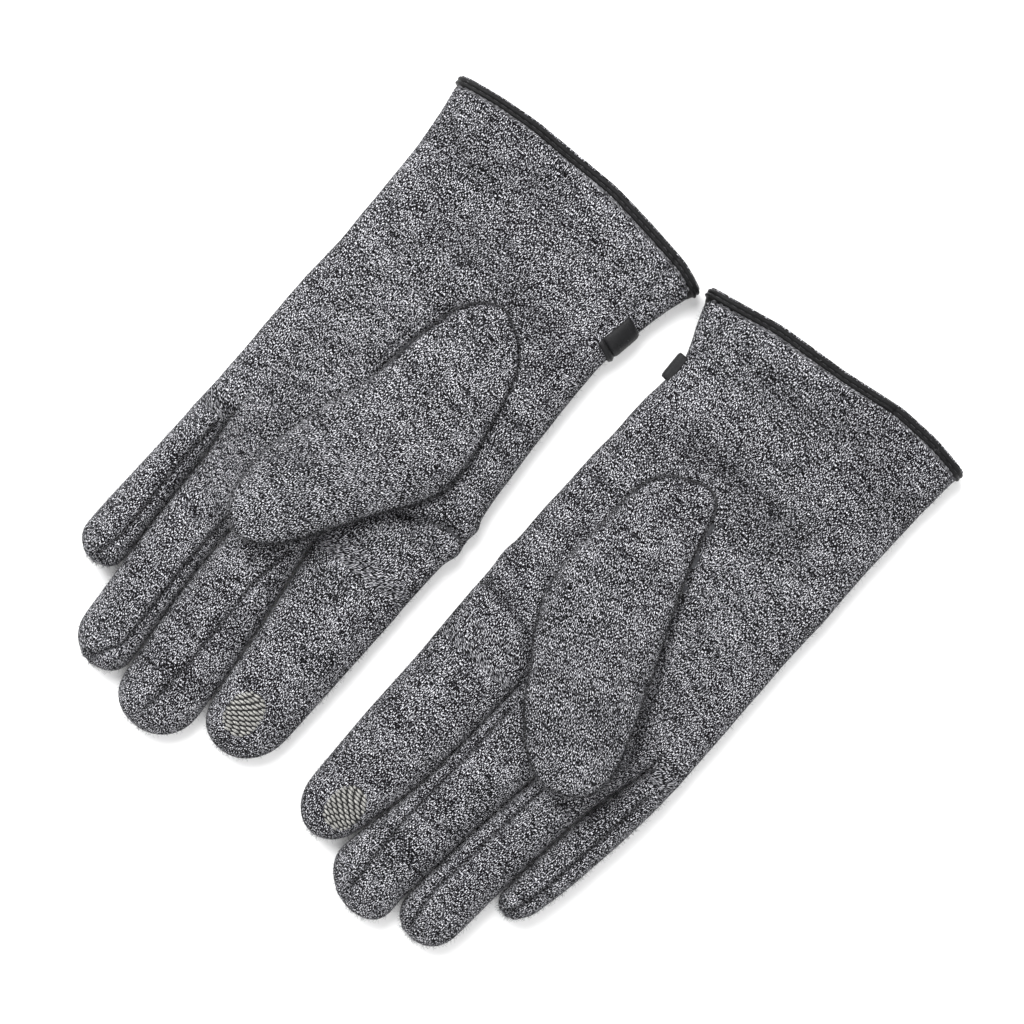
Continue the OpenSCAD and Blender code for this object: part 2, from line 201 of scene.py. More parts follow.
# trims
BIND_STEPS = 360
LAP_X, LAP_HALF, LAP_POINTS = 19, 3.6, 14
STITCH_PITCH, STITCH_LONG = 3.2, 2.1
LOOP_Y, LOOP_REACH, LOOP_HALF = 37.5, 2.3, 1.7
PAD_WIDE, PAD_LONG = 6.5, 8.6
PAD_PITCH, PAD_STITCH = 1.22, 2.9
# the binding's section: how far out of the knit, and how far along from the mouth
BIND_PROFILE = [
    (-0.3, 2.65), (0.25, 2.6), (0.62, 2.4), (0.8, 2.0), (0.72, 1.6), (0.42, 1.3), (0.5, 1.05),
    (0.82, 0.75), (0.95, 0.3), (0.88, -0.15), (0.6, -0.5), (0.1, -0.75), (-0.8, -0.8), (-1.8, -0.7),
    (-2.6, -0.2), (-2.95, 0.5), (-2.95, 2.0), (-2.8, 3.6), (-2.2, 4.3), (-1.2, 4.4),
]
# how much paler the binding is across its section: wear, and a painted highlight along the tops of its
# two ridges
BIND_WEAR_AND_HIGHLIGHT = [0, 0.1, 0.4, 0.9, 0.5, 0, 0, 0.5, 1, 0.8, 0.4, 0.1] + [0] * 8


# ------------------------------------------------------------ small numeric tools
def smooth(t):
    t = np.clip(t, 0, 1)
    return t * t * (3 - 2 * t)


def mix(a, b, t):
    return a + (b - a) * t


def bulge(u, power):
    """1 in the middle of a section and 0 at its sides, squarer with a higher power."""
    return np.clip(1 - np.abs(u) ** power, 0, 1) ** 0.5


def falloff(distance, width):
    """1 on a line, fading away from it over width."""
    return np.exp(-(distance / width) ** 2)


def unit(v):
    return v / np.maximum(np.linalg.norm(v, axis=-1, keepdims=True), 1e-12)


def from_end(count):
    """How many steps each of count places is from the nearer end."""
    return np.minimum(np.arange(count), np.arange(count)[::-1])


def walked(p, axis=0):
    """How far along the points each one lies."""
    step = np.linalg.norm(np.diff(p, axis=axis), axis=-1)
    return np.cumsum(np.insert(step, 0, 0, axis=axis), axis=axis)


def sampled(want, walk, line):
    """The line's columns at the wanted distances along it."""
    return np.stack([np.interp(want, walk, column) for column in line.T], 1)


def course(points, soft=9.0, first=-40):
    """x as a smooth function of y through (y, x) points."""
    ys = np.arange(first, 300, 0.5)
    py, px = np.array(points, float).T
    lo, hi = (px[1] - px[0]) / (py[1] - py[0]), (px[-1] - px[-2]) / (py[-1] - py[-2])
    xs = np.interp(ys, py, px)
    xs = np.where(ys < py[0], px[0] + lo * (ys - py[0]), xs)
    xs = np.where(ys > py[-1], px[-1] + hi * (ys - py[-1]), xs)
    n = int(soft / 0.5) | 1
    window = np.hanning(n + 2)[1:-1]
    xs = np.convolve(np.pad(xs, n // 2, mode="edge"), window / window.sum(), "valid")
    return lambda y: np.interp(y, ys, xs)


def spline(rows, count):
    """Catmull-Rom through the rows, sampled evenly in count places."""
    p = np.array(rows, float)
    p = np.vstack([2 * p[0] - p[1], p, 2 * p[-1] - p[-2]])
    s = np.linspace(0, len(rows) - 1 - 1e-6, count)
    i = s.astype(int)
    t = (s - i)[:, None]
    a, b, c, d = p[i], p[i + 1], p[i + 2], p[i + 3]
    return 0.5 * (2 * b + (c - a) * t + (2 * a - 5 * b + 4 * c - d) * t**2
                  + (3 * b - a - 3 * c + d) * t**3)


def lumps(x, y, size, seed):
    """Smooth value noise from -1 to 1."""
    grid = np.random.default_rng(seed).uniform(-1, 1, (97, 97))
    gx, gy = (x + 400) / size, (y + 400) / size
    ix, iy = np.floor(gx).astype(int), np.floor(gy).astype(int)
    fx, fy = smooth(gx - ix), smooth(gy - iy)
    at = lambda a, b: grid[a % 97, b % 97]
    return mix(mix(at(ix, iy), at(ix + 1, iy), fx), mix(at(ix, iy + 1), at(ix + 1, iy + 1), fx), fy)


def off_segment(x, y, a, b):
    """Distance from each place to the stretch from a to b, and how far along it that is."""
    dx, dy = b[0] - a[0], b[1] - a[1]
    t = np.clip(((x - a[0]) * dx + (y - a[1]) * dy) / (dx * dx + dy * dy), 0, 1)
    return np.hypot(x - a[0] - t * dx, y - a[1] - t * dy), t


def off_line(x, y, points):
    """Distance from each place to a line of points."""
    return np.min([off_segment(x, y, a, b)[0] for a, b in zip(points, points[1:])], axis=0)


# ------------------------------------------------------------ meshes, rings and places
def set_frame(glove):
    """A glove's place and turn, from its own joint and mount."""
    axis = JOINTS[glove["name"] + "_index_bend"]["axis"]
    mouth = MOUNTS[glove["name"] + "_cuff_opening"]["pos_m"]
    turn = math.atan2(axis[1], axis[0])
    glove["cos"], glove["sin"] = math.cos(turn), math.sin(turn)
    glove["at"] = (mouth[0] / MM + CUFF_DIP * glove["sin"], mouth[1] / MM - CUFF_DIP * glove["cos"])


def turned(v, glove):
    v = np.asarray(v, float)
    x, y = v[..., 0] * glove["mirror"], v[..., 1]
    return np.stack([x * glove["cos"] - y * glove["sin"], x * glove["sin"] + y * glove["cos"],
                     v[..., 2]], -1)


def place(p, glove):
    out = turned(p, glove)
    out[..., 0] += glove["at"][0]
    out[..., 1] += glove["at"][1]
    return out * MM


def to_local(pos_m, glove):
    """A row-frame point in metres, as a glove's own x and y in mm."""
    dx, dy = pos_m[0] / MM - glove["at"][0], pos_m[1] / MM - glove["at"][1]
    x, y = dx * glove["cos"] + dy * glove["sin"], -dx * glove["sin"] + dy * glove["cos"]
    return x * glove["mirror"], y


def ring_faces(rows, n, closed=True):
    """Quads between neighbouring rings of n points, or between open rows of them."""
    i, j = np.meshgrid(np.arange(rows - 1), np.arange(n if closed else n - 1), indexing="ij")
    k = (j + 1) % n
    return np.stack([i * n + j, i * n + k, (i + 1) * n + k, (i + 1) * n + j], -1).reshape(-1, 4)


def rings(part, key="p"):
    """A part's points or normals as rows of rings."""
    return part[key].reshape(part["rows"], part["n"], 3)


def cap(base, n):
    """Faces over a ring of n points."""
    quads = [(base + k, base + k + 1, base + n - k - 1, base + (n - k) % n) for k in range(n // 2)]
    return [tuple(dict.fromkeys(q)) for q in quads]


def closed_sheet(outer, inner):
    """Points and faces of a sheet of two layers, joined round its rim."""
    r, c = outer.shape[:2]
    size = r * c
    faces = [tuple(f) for f in ring_faces(r, c, closed=False)]
    faces += [tuple(k + size for k in f[::-1]) for f in faces]
    loop = ([k for k in range(c - 1)] + [k * c + c - 1 for k in range(r - 1)]
            + [(r - 1) * c + k for k in range(c - 1, 0, -1)] + [k * c for k in range(r - 1, 0, -1)])
    faces += [(b, a, a + size, b + size) for a, b in zip(loop, loop[1:] + loop[:1])]
    return np.concatenate([outer.reshape(-1, 3), inner.reshape(-1, 3)]), faces


def point_normals(p, faces):
    a, b, c, d = (p[faces[:, k]] for k in range(4))
    fn = np.cross(c - a, d - b)
    out = np.zeros_like(p)
    for k in range(4):
        np.add.at(out, faces[:, k], fn)
    return out


def make(label, p, faces, glove, mat, attributes=None, uv=None, normals=None, closed=False):
    """A smooth mesh object in the row frame from points in a glove's own frame.

    A closed piece has its faces turned outward.
    """
    name = f"{glove['name']}_{label}"
    mesh = bpy.data.meshes.new(name)
    if glove["mirror"] < 0:
        faces = [f[::-1] for f in faces]
    mesh.from_pydata(place(p, glove).tolist(), [], [tuple(int(k) for k in f) for f in faces])
    for key, values in (attributes or {}).items():
        layer = mesh.attributes.new(key, "FLOAT", "POINT")
        layer.data.foreach_set("value", np.asarray(values, np.float32))
    if uv is not None:
        layer = mesh.uv_layers.new(name="knit")
        corner = np.zeros(len(mesh.loops), np.int32)
        mesh.loops.foreach_get("vertex_index", corner)
        layer.data.foreach_set("uv", np.asarray(uv, np.float32)[corner].ravel())
    mesh.polygons.foreach_set("use_smooth", np.ones(len(mesh.polygons), bool))
    mesh.materials.append(mat)
    mesh.update()
    if normals is not None:
        mesh.normals_split_custom_set_from_vertices(turned(normals, glove).tolist())
    if closed:
        bm = bmesh.new()
        bm.from_mesh(mesh)
        bmesh.ops.recalc_face_normals(bm, faces=bm.faces)
        bm.to_mesh(mesh)
        bm.free()
    obj = bpy.data.objects.new(name, mesh)
    bpy.context.scene.collection.objects.link(obj)
    return obj


def dress(obj, glove, slot, *nodes):
    """Hides the CAD nodes that a piece stands for. Its slot, the finish, is not used."""
    if nodes:
        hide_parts(*[f"{glove['name']}_{node}" for node in nodes])


def on_hand(obj, glove, slot, *nodes):
    """Makes a piece move with the hand of its glove."""
    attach(obj, glove["name"] + "_glove")
    dress(obj, glove, slot, *nodes)


def bend(obj, glove, joint, ahead, reach):
    """Bakes a piece's placement into its mesh. It works out the two places, at the distances of reach
    past a joint along ahead, between which the piece would turn, but nothing uses them.
    """
    name = glove["name"]
    x, y = to_local(JOINTS[f"{name}_{joint}"]["pos_m"], glove)
    start, end = (tuple(place(np.array([x + ahead[0] * s, y + ahead[1] * s, BEND_Z]), glove))
                  for s in reach)
    name + "_glove"
    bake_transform(obj)


def bend_finger(obj, glove, f):
    bend(obj, glove, FINGERS[f] + "_bend", (0, 1), (-1.0, 15.0))


def bend_thumb(obj, glove):
    ax, ay = JOINTS[glove["name"] + "_thumb_lift"]["axis"][:2]
    lx = (ax * glove["cos"] + ay * glove["sin"]) * glove["mirror"]
    ly = -ax * glove["sin"] + ay * glove["cos"]
    ahead = (-ly, lx) if lx > 0 else (ly, -lx)
    bend(obj, glove, "thumb_lift", ahead, (0.5, 9.0))


# ------------------------------------------------------------ the skin
def cuff_line(glove, x):
    return course(glove["mouth"], 9, -80)(x)


def build_skin(g):
    """The knit of one glove as rings: the hand, then four fingers that continue it."""
    edge, side = course(g["edge"], 12), course(g["side"], 16)
    gaps = [course(line, 14) for line in g["gaps"]]
    crotch = [line[0][0] for line in g["gaps"]]
    crotch_x = [float(gaps[i](crotch[i])) for i in range(3)]
    share = [(crotch_x[i] - edge(crotch[i])) / (side(crotch[i]) - edge(crotch[i])) for i in range(3)]
    share = [0.0] + [float(s) for s in share] + [1.0]
    u = -np.cos(np.pi * np.arange(COLS + 1) / COLS)

    def ends(f):
        return (crotch[f - 1] if f else crotch[0]), (crotch[f] if f < 3 else crotch[2])

    def root_y(f, u):
        a, b = ends(f)
        return mix(a, b, (u + 1) / 2)

    # the hand's columns: 4 fingers side by side
    col_f = np.concatenate([np.full(COLS, f) for f in range(4)] + [[3]])
    col_u = np.concatenate([u[:-1]] * 4 + [[1.0]])
    col_share = np.array([mix(share[f], share[f + 1], (uu + 1) / 2) for f, uu in zip(col_f, col_u)])
    col_root = np.array([root_y(f, uu) for f, uu in zip(col_f, col_u)])
    x0 = mix(edge(0.0), side(0.0), col_share)
    y0 = cuff_line(g, x0)
    v = np.linspace(0, 1, HAND_ROWS)[:, None]
    y = y0 + (col_root - y0) * v
    x = mix(edge(y), side(y), col_share)
    half = (side(y) - edge(y)) / 2
    big_u = (x - (side(y) + edge(y)) / 2) / half

    def hand_z(big_u, x, y):
        top_c = PALM_TOP - CROWN * big_u**2
        cuff = smooth(1 - y / 26)
        top_c = top_c + cuff * (0.4 + 0.5 * big_u**2)
        low = FLOOR_Z + 1.5 * smooth(1 - y / 12)
        return EDGE_Z + (top_c - EDGE_Z) * bulge(big_u, 15), EDGE_Z - (EDGE_Z - low) * bulge(big_u, 19)

    def finger_z(u, big_u):
        top_c = PALM_TOP - 0.4 - CROWN * 0.6 * big_u**2
        return EDGE_Z + (top_c - EDGE_Z) * bulge(u, 2.7), EDGE_Z - (EDGE_Z - FLOOR_Z) * bulge(u, 4.5)

    ht, hb = hand_z(big_u, x, y)
    ft, fb = finger_z(np.broadcast_to(col_u, x.shape), big_u)
    near = np.clip(1 - (col_root - y) / CROTCH_VALLEY, 0, 1)
    # the valley between two fingers starts as a shallow dent and deepens to the crotch
    s = near**2.6
    zt, zb = mix(ht, ft, s), mix(hb, fb, near**3.5)
    n_cols = 4 * COLS
    top = np.stack([x, y, zt], -1)
    low = np.stack([x, y, zb], -1)
    hand = np.concatenate([top, low[:, n_cols - 1:0:-1]], 1)
    ring = hand.shape[1]
    is_top = np.concatenate([np.ones(n_cols + 1), np.zeros(n_cols - 1)])
    parts = {"hand": {"p": hand.reshape(-1, 3), "rows": HAND_ROWS, "n": ring,
                      "top": np.tile(is_top, HAND_ROWS)}}

    # the fingers
    w = np.concatenate([np.linspace(0, 1, FINGER_ROWS - TIP_ROWS, endpoint=False),
                        np.full(TIP_ROWS, 1.0)])[:, None]
    for f in range(4):
        tip_x, tip_y = g["tips"][f]
        base = sum(ends(f)) / 2
        wide = float(gaps[f](tip_y - 20) if f < 3 else side(tip_y - 20)) - float(
            gaps[f - 1](tip_y - 20) if f else edge(tip_y - 20))
        run = 0.56 * wide
        y_run = tip_y - run
        lin = mix(base, y_run, w)
        tip_t = np.zeros_like(w)
        tip_t[-TIP_ROWS:, 0] = np.sin(np.pi / 2 * np.linspace(0, 1, TIP_ROWS))
        lin[-TIP_ROWS:] = y_run + run * tip_t[-TIP_ROWS:]
        fade = smooth(1 - (lin - base) / 45)
        yy = lin + (root_y(f, u) - base) * fade
        open_up = smooth((yy - root_y(f, u)) / 9) * GAP_HALF
        left = (gaps[f - 1](yy) + open_up) if f else edge(yy)
        right = (gaps[f](yy) - open_up) if f < 3 else side(yy)
        c, h = (left + right) / 2, (right - left) / 2
        c = mix(c, tip_x, smooth(tip_t) * 0.8)
        xx = c + h * u * bulge(tip_t, 2.6)
        # its place across the whole hand sets how high the palm's crown carries it
        big = (mix(left, right, (u + 1) / 2) - (side(yy) + edge(yy)) / 2) / (
            (side(yy) - edge(yy)) / 2)
        zt, zb = finger_z(np.broadcast_to(u, xx.shape), big)
        flat = bulge(tip_t, 3.4)
        puff = 0.5 * smooth((yy - root_y(f, u)) / 20)
        zt = EDGE_Z + (zt + puff * (1 - u**2) - EDGE_Z) * flat
        zb = EDGE_Z + (zb - EDGE_Z) * flat
        tube = np.concatenate([np.stack([xx, yy, zt], -1),
                               np.stack([xx, yy, zb], -1)[:, COLS - 1:0:-1]], 1)
        is_top = np.concatenate([np.ones(COLS + 1), np.zeros(COLS - 1)])
        parts[FINGERS[f]] = {"p": tube.reshape(-1, 3), "rows": FINGER_ROWS, "n": 2 * COLS,
                             "top": np.tile(is_top, FINGER_ROWS)}
    for part in parts.values():
        part["faces"] = ring_faces(part["rows"], part["n"])
    return parts


def shared_normals(parts):
    """Unit normals, where points that two parts share get one normal."""
    sums = {}
    raw = {}
    for key, part in parts.items():
        n = point_normals(part["p"], part["faces"])
        raw[key] = n
        rows, cols = part["rows"], part["n"]
        border = np.arange(cols) + (0 if key != "hand" else (rows - 1) * cols)
        part["border"] = border
        for k in border:
            spot = tuple(np.round(part["p"][k], 3))
            sums[spot] = sums.get(spot, 0) + n[k]
    for key, part in parts.items():
        n = raw[key]
        for k in part["border"]:
            n[k] = sums[tuple(np.round(part["p"][k], 3))]
        part["normals"] = unit(n)


def knit_place(parts):
    """Where each point lies on the unrolled knit, in mm: across the wales and along them."""
    starts = {}
    for key, part in parts.items():
        p, rows, n = rings(part), part["rows"], part["n"]
        half = n // 2
        mid = half // 2
        u = np.zeros((rows, n))
        top = walked(p[:, :half + 1], 1)
        u[:, :half + 1] = top - top[:, mid:mid + 1]
        low = walked(p[:, [*range(half, n), 0]], 1)
        u[:, half + 1:] = (low[:, mid:mid + 1] - low)[:, 1:-1]
        if key == "hand":
            for f, name in enumerate(FINGERS):
                col = f * COLS + COLS // 2
                starts[name] = (u[-1, col], p[-1, col, 1])
            v = p[..., 1]
        else:
            u = u + starts[key][0]
            v = np.broadcast_to((walked(p[:, mid]) + starts[key][1])[:, None], (rows, n))
        part["uv"] = np.stack([u, v], -1).reshape(-1, 2)


def thumb_rim(glove):
    """The line along which the thumb is sewn into the palm."""
    root, (low, high) = glove["thumb"], glove["sewn"]
    rim = [(a[0], a[1]) for a in root[low:0:-1]] + [(root[0][0], root[0][1]), (root[0][2], root[0][3])]
    return rim + [(a[2], a[3]) for a in root[1:high]]


def thumb_outline_shadow(glove, x, y):
    """How much painted shadow lies along the thumb's outline on the palm: 1 on the outline, less where
    the two run into each other.
    """
    best = np.zeros_like(x)
    for side, crisp in enumerate(glove["crisp"]):
        ends = [chord[2 * side:2 * side + 2] for chord in glove["thumb"]]
        for a, b, crisp_a, crisp_b in zip(ends, ends[1:], crisp, crisp[1:]):
            away, t = off_segment(x, y, a, b)
            best = np.maximum(best, mix(crisp_a, crisp_b, t) * falloff(away, OUTLINE_SHADOW_WIDTH))
    return best


def relief(glove, x, y, top):
    """How far the knit stands out of its smooth shape, and how much shade is painted into its creases and
    along the thumb's outline.
    """
    seed = glove["seed"]
    d = 0.45 * lumps(x, y, 31, seed) + 0.22 * lumps(x, y, 13, seed + 1)
    d = d + 0.10 * lumps(x * 1.6, y * 0.7, 6, seed + 2) + 0.06 * lumps(x, y, 3, seed + 3)
    dark = np.zeros_like(x)
    for points, depth, width in glove["folds"]:
        m = falloff(off_line(x, y, points), width)
        d = d - depth * m * top
        # a fold that sinks in gets painted shade along its crease
        if depth > 0:
            dark = np.maximum(dark, 0.5 * min(depth, 1.2) * m * top)
    for points, depth, width in glove["under"]:
        d = d - depth * falloff(off_line(x, y, points), width) * (1 - top)
    # the seam round the thumb's root
    m = off_line(x, y, thumb_rim(glove))
    d = d - (0.8 * falloff(m, 1.0) - 0.25 * falloff(m - 3, 1.8)) * top
    # painted shadow along the thumb's outline
    dark = np.maximum(dark, thumb_outline_shadow(glove, x, y) * top)
    # the edge beside the binding puckers
    mouth = y - cuff_line(glove, x)
    pucker = falloff(mouth - 3.6, 1.3)
    d = d + pucker * 0.35 * np.sin(x * 2.4 + 1.3 * lumps(x, y, 9, seed + 5))
    return d, dark


def seam_relief(glove, f, x, y, top):
    """The sewn line of a finger's side strip and the puckers at its tip, with shade painted into the
    seam's groove and among the puckers.
    """
    line = glove["seams"][f]
    if not line:
        return np.zeros_like(x), np.zeros_like(x)
    path = [(b, a) for a, b in line]
    m = off_line(x, y, path)
    wave = 1 + 0.3 * lumps(x, y, 4, glove["seed"] + 8)
    d = -1.05 * wave * falloff(m, 0.85) + 0.4 * falloff(m - 3, 1.8)
    tip_x, tip_y = path[-1]
    away = np.hypot(x - tip_x, y - tip_y)
    angle = np.arctan2(y - tip_y, x - tip_x)
    d = d - 0.5 * falloff(away - 3, 3.5) * (0.5 + 0.5 * np.sin(angle * 5 + f))
    # painted shade in the seam's groove and among the puckers
    dark = np.maximum(0.9 * falloff(m, 0.8), 0.5 * falloff(away, 2.4))
    return d * top, dark * top


def roughen(g, parts):
    """Presses folds, seams and unevenness into the smooth skin, and paints shade into its creases, its
    seams and its steep flanks.
    """
    for key, part in parts.items():
        x, y, top = part["p"][:, 0], part["p"][:, 1], part["top"]
        facing = np.abs(part["normals"][:, 2])
        d, dark = relief(g, x, y, top)
        # painted shade on the top's flanks, darker the more steeply they turn away from straight up
        dark = np.maximum(dark, 0.4 * (1 - smooth(facing / 0.8)) * top)
        if key != "hand":
            # a finger's sides stay smooth, so that neighbours lie close without touching
            root = np.repeat(smooth(np.arange(part["rows"]) / 14.0), part["n"])
            d = d * mix(1.0, smooth(facing / 0.6), root)
        for f in range(1, 4):
            if key in ("hand", FINGERS[f]):
                inside = 1.0 if key != "hand" else np.abs(x - g["seams"][f][0][1]) < 12
                seam, seam_painted_shade = seam_relief(g, f, x, y, top)
                d, dark = d + seam * inside, np.maximum(dark, seam_painted_shade * inside)
        part["dark"] = dark
        lift = part["normals"] * d[:, None]
        # the underside rests on the table, so it only gives inwards
        under = part["normals"][:, 2] < -0.3
        lift[under, 2] = np.abs(lift[under, 2]) * 0.6
        part["p"] = part["p"] + lift
        part["p"][:, 2] = np.maximum(part["p"][:, 2], FLOOR_Z - 0.1)


def thumb_skin(glove):
    """The set-in thumb: a tube over chords, which lies in the palm up to its crease and free past it."""
    chords = spline(glove["thumb"], THUMB_ROWS)
    # even steps along the thumb, closer at the tip
    mid = (chords[:, :2] + chords[:, 2:4]) / 2
    walk = walked(mid)
    pace = np.linspace(0, 1, THUMB_ROWS)
    want = walk[-1] * (1 - (1 - pace) ** 1.25)
    chords = sampled(want, walk, chords)
    lx, ly, rx, ry, high = (chords[:, k:k + 1] for k in range(5))
    u = -np.cos(np.pi * np.arange(THUMB_COLS + 1) / THUMB_COLS)
    t = want[:, None] / walk[-1]
    free = smooth((t - glove["crease_at"] + 0.02) / 0.10)
    tip = smooth((t - 0.93) / 0.07)
    edge_z = mix(mix(PALM_TOP - 0.9, 19.6, free), 20.8, tip)
    low_z = mix(mix(10.0, 15.3, free), 20.5, tip**2)
    x, y = mix(lx, rx, (u + 1) / 2), mix(ly, ry, (u + 1) / 2)
    zt = edge_z + (high - edge_z) * bulge(u, 4.2)
    zb = edge_z - (edge_z - low_z) * bulge(u, 3.2)
    tube = np.concatenate([np.stack([x, y, zt], -1),
                           np.stack([x, y, zb], -1)[:, THUMB_COLS - 1:0:-1]], 1)
    rows, n = tube.shape[:2]
    top = np.tile(np.concatenate([np.ones(THUMB_COLS + 1), np.zeros(THUMB_COLS - 1)]), rows)
    part = {"p": tube.reshape(-1, 3), "rows": rows, "n": n, "top": top, "faces": ring_faces(rows, n)}
    part["normals"] = unit(point_normals(part["p"], part["faces"]))
    half, mid_col = n // 2, n // 4
    step = walked(tube[:, :half + 1], 1)
    uu = np.zeros((rows, n))
    uu[:, :half + 1] = step - step[:, mid_col:mid_col + 1]
    uu[:, half + 1:] = uu[:, half - 1:0:-1]
    along = walked(tube[:, mid_col])
    # the wales of the thumb lean with it
    vv = along[:, None] + 0.22 * uu + 700
    part["uv"] = np.stack([uu - 0.12 * along[:, None] + 500, vv], -1).reshape(-1, 2)
    x, y = part["p"][:, 0], part["p"][:, 1]
    seed = glove["seed"] + 40
    d = 0.5 * lumps(x, y, 27, seed) + 0.25 * lumps(x, y, 11, seed + 1) + 0.08 * lumps(x, y, 4, seed + 2)
    part["p"] = part["p"] + part["normals"] * d[:, None] * (0.3 + 0.7 * part["top"][:, None])
    part["normals"] = unit(point_normals(part["p"], part["faces"]))
    # painted shadow along the thumb's outline, and painted shade all over its underside
    part["dark"] = np.maximum(thumb_outline_shadow(glove, x, y), 0.7 * (1 - part["top"]))
    return part


# ------------------------------------------------------------ materials
class Value:
    """A node's output. Sums, differences and products of values and numbers are nodes too."""

    def __init__(self, graph, socket):
        self.graph, self.socket = graph, socket

    def __add__(self, other):
        return self.graph.math("ADD", self, other)

    def __sub__(self, other):
        return self.graph.math("SUBTRACT", self, other)

    def __mul__(self, other):
        return self.graph.math("MULTIPLY", self, other)


class Graph:
    """One material's nodes."""

    def __init__(self, name):
        self.mat = bpy.data.materials.new(name)
        self.mat.use_nodes = True
        self.tree = self.mat.node_tree
        self.tree.nodes.clear()
        self.shader = self.tree.nodes.new("ShaderNodeBsdfPrincipled")
        out = self.tree.nodes.new("ShaderNodeOutputMaterial")
        self.tree.links.new(self.shader.outputs[0], out.inputs[0])

    def put(self, socket, value):
        if isinstance(value, Value):
            self.tree.links.new(value.socket, socket)
        else:
            socket.default_value = value

    def node(self, kind, out=0, inputs=(), **settings):
        n = self.tree.nodes.new("ShaderNode" + kind)
        for key, value in settings.items():
            setattr(n, key, value)
        for key, value in dict(inputs).items():
            self.put(n.inputs[key], value)
        return Value(self, n.outputs[out])

    def math(self, op, *values):
        return self.node("Math", 0, enumerate(values), operation=op)

    def attribute(self, name):
        return self.node("Attribute", "Fac", attribute_name=name)

    def object_at(self):
        return self.node("TexCoord", "Object")

    def split(self, vector):
        parts = self.node("SeparateXYZ", 0, {0: vector}).socket.node.outputs
        return [Value(self, part) for part in parts]

    def join(self, x, y, z=0.0):
        return self.node("CombineXYZ", 0, enumerate((x, y, z)))

    def noise(self, vector, scale, detail=2.0, rough=0.5):
        return self.node("TexNoise", "Fac", {
            "Vector": vector, "Scale": scale, "Detail": detail, "Roughness": rough})

    def white(self, vector):
        return self.node("TexWhiteNoise", "Value", {"Vector": vector})

    def ramp(self, value, stops):
        n = self.tree.nodes.new("ShaderNodeValToRGB")
        elements = n.color_ramp.elements
        while len(elements) < len(stops):
            elements.new(0.5)
        for element, (at, colour) in zip(elements, stops):
            element.position = at
            element.color = (*colour, 1)
        self.put(n.inputs[0], value)
        return Value(self, n.outputs[0])

    def blend(self, kind, amount, a, b):
        return self.node("Mix", 2, {"Factor": amount, 6: a, 7: b}, data_type="RGBA", blend_type=kind)

    def bump(self, height, distance, strength):
        self.put(self.shader.inputs["Normal"], self.node("Bump", 0, {
            "Height": height, "Distance": distance, "Strength": strength}))

    def finish(self, colour, rough, **constants):
        self.put(self.shader.inputs["Base Color"], colour)
        self.put(self.shader.inputs["Roughness"], rough)
        for key, value in constants.items():
            self.shader.inputs[key.replace("_", " ")].default_value = value
        return self.mat


def knit_material():
    """Stockinette: two leaning legs to each stitch, each leg its own mix of dark and pale fibre."""
    g = Graph("heather_knit")

    def strand(at, power):
        return g.math("POWER", g.math("MAXIMUM", g.math("SINE", at * math.pi), 0.0), power)

    place_at = g.node("UVMap", uv_map="knit")
    # the rows wander a little
    u, v, _ = g.split(place_at)
    uu = u + g.noise(place_at, 0.11, 2.0) * 1.6
    vv = v + g.noise(place_at, 0.35, 1.0) * 1.2
    across = g.math("DIVIDE", uu, WALE)
    wale = g.math("FLOOR", across)
    s = across - wale
    off_middle = g.math("ABSOLUTE", s - 0.5)
    side = g.math("GREATER_THAN", s, 0.5)
    up = g.math("DIVIDE", vv, COURSE) - off_middle * 1.7
    row = g.math("FLOOR", up)
    leg = g.white(g.join(wale, row, side))
    leg_height = g.white(g.join(wale + 31.7, row, side))
    # height: each leg is a round strand, deep between the wales and between the rows
    weave = strand(up - row, 0.7) * strand(off_middle * 2.0, 0.6)
    lean = side * 0.5 - 0.25
    grain = g.noise(g.join(uu * 3.5 + vv * lean, vv * 1.4, side * 7.0), 1.0, 0.0)
    stripe = g.math("SINE", uu * 6.3 + g.noise(place_at, 0.6, 1.0) * 9.0)
    fibre = g.noise(g.join(uu * 1.5, vv * 0.8), 1.5, 1.0, 0.6)
    g.bump(weave + grain * 0.9 + leg_height * 0.3, 0.42 * MM, 0.9)
    # colour: dark between the legs, and each leg its own shade from charcoal to pale grey
    tone = (weave - 0.5) * 0.30 + 0.28 + (leg - 0.5) * 0.12 + (grain - 0.5) * 3.9
    tone = tone + stripe * 0.11 + (fibre - 0.5) * 0.25
    # the marled yarn shows as patches drawn out along the rows
    along = g.join(u * 0.55, v * 1.4)
    tone = tone + (g.noise(along, 0.060, 3.0, 0.6) - 0.5) * 0.50 + (g.noise(along, 0.20) - 0.5) * 0.50
    colour = g.ramp(tone, [
        (0.0, (0.001, 0.001, 0.0011)), (0.3, (0.0058, 0.0058, 0.0067)), (0.5, (0.029, 0.029, 0.0335)),
        (0.7, (0.136, 0.137, 0.154)), (0.9, (0.44, 0.44, 0.48)), (1.0, (0.78, 0.78, 0.82))])
    # painted shade: creases, seams, steep flanks, the thumb's outline and its underside come out darker
    colour = g.blend("MULTIPLY", g.attribute("dark"), colour, (0.13, 0.13, 0.14, 1))
    colour = g.blend("MIX", g.attribute("pale"), colour, (0.22, 0.22, 0.23, 1))
    return g.finish(colour, 0.95, Sheen_Weight=0.02, Sheen_Roughness=0.5, Specular_IOR_Level=0.08)


def fleece_material():
    """A brushed nap over soft lumps."""
    g = Graph("brushed_fleece")
    at = g.object_at()
    nap, lump = g.noise(at, 900, 4.0, 0.7), g.noise(at, 220)
    colour = g.ramp(nap * 0.7 + lump * 0.3, [
        (0.3, (0.016, 0.016, 0.019)), (0.6, (0.05, 0.051, 0.056)), (0.8, (0.11, 0.11, 0.12))])
    g.bump(nap + lump, 0.9 * MM, 0.8)
    return g.finish(colour, 1.0, Sheen_Weight=0.3, Specular_IOR_Level=0.1)


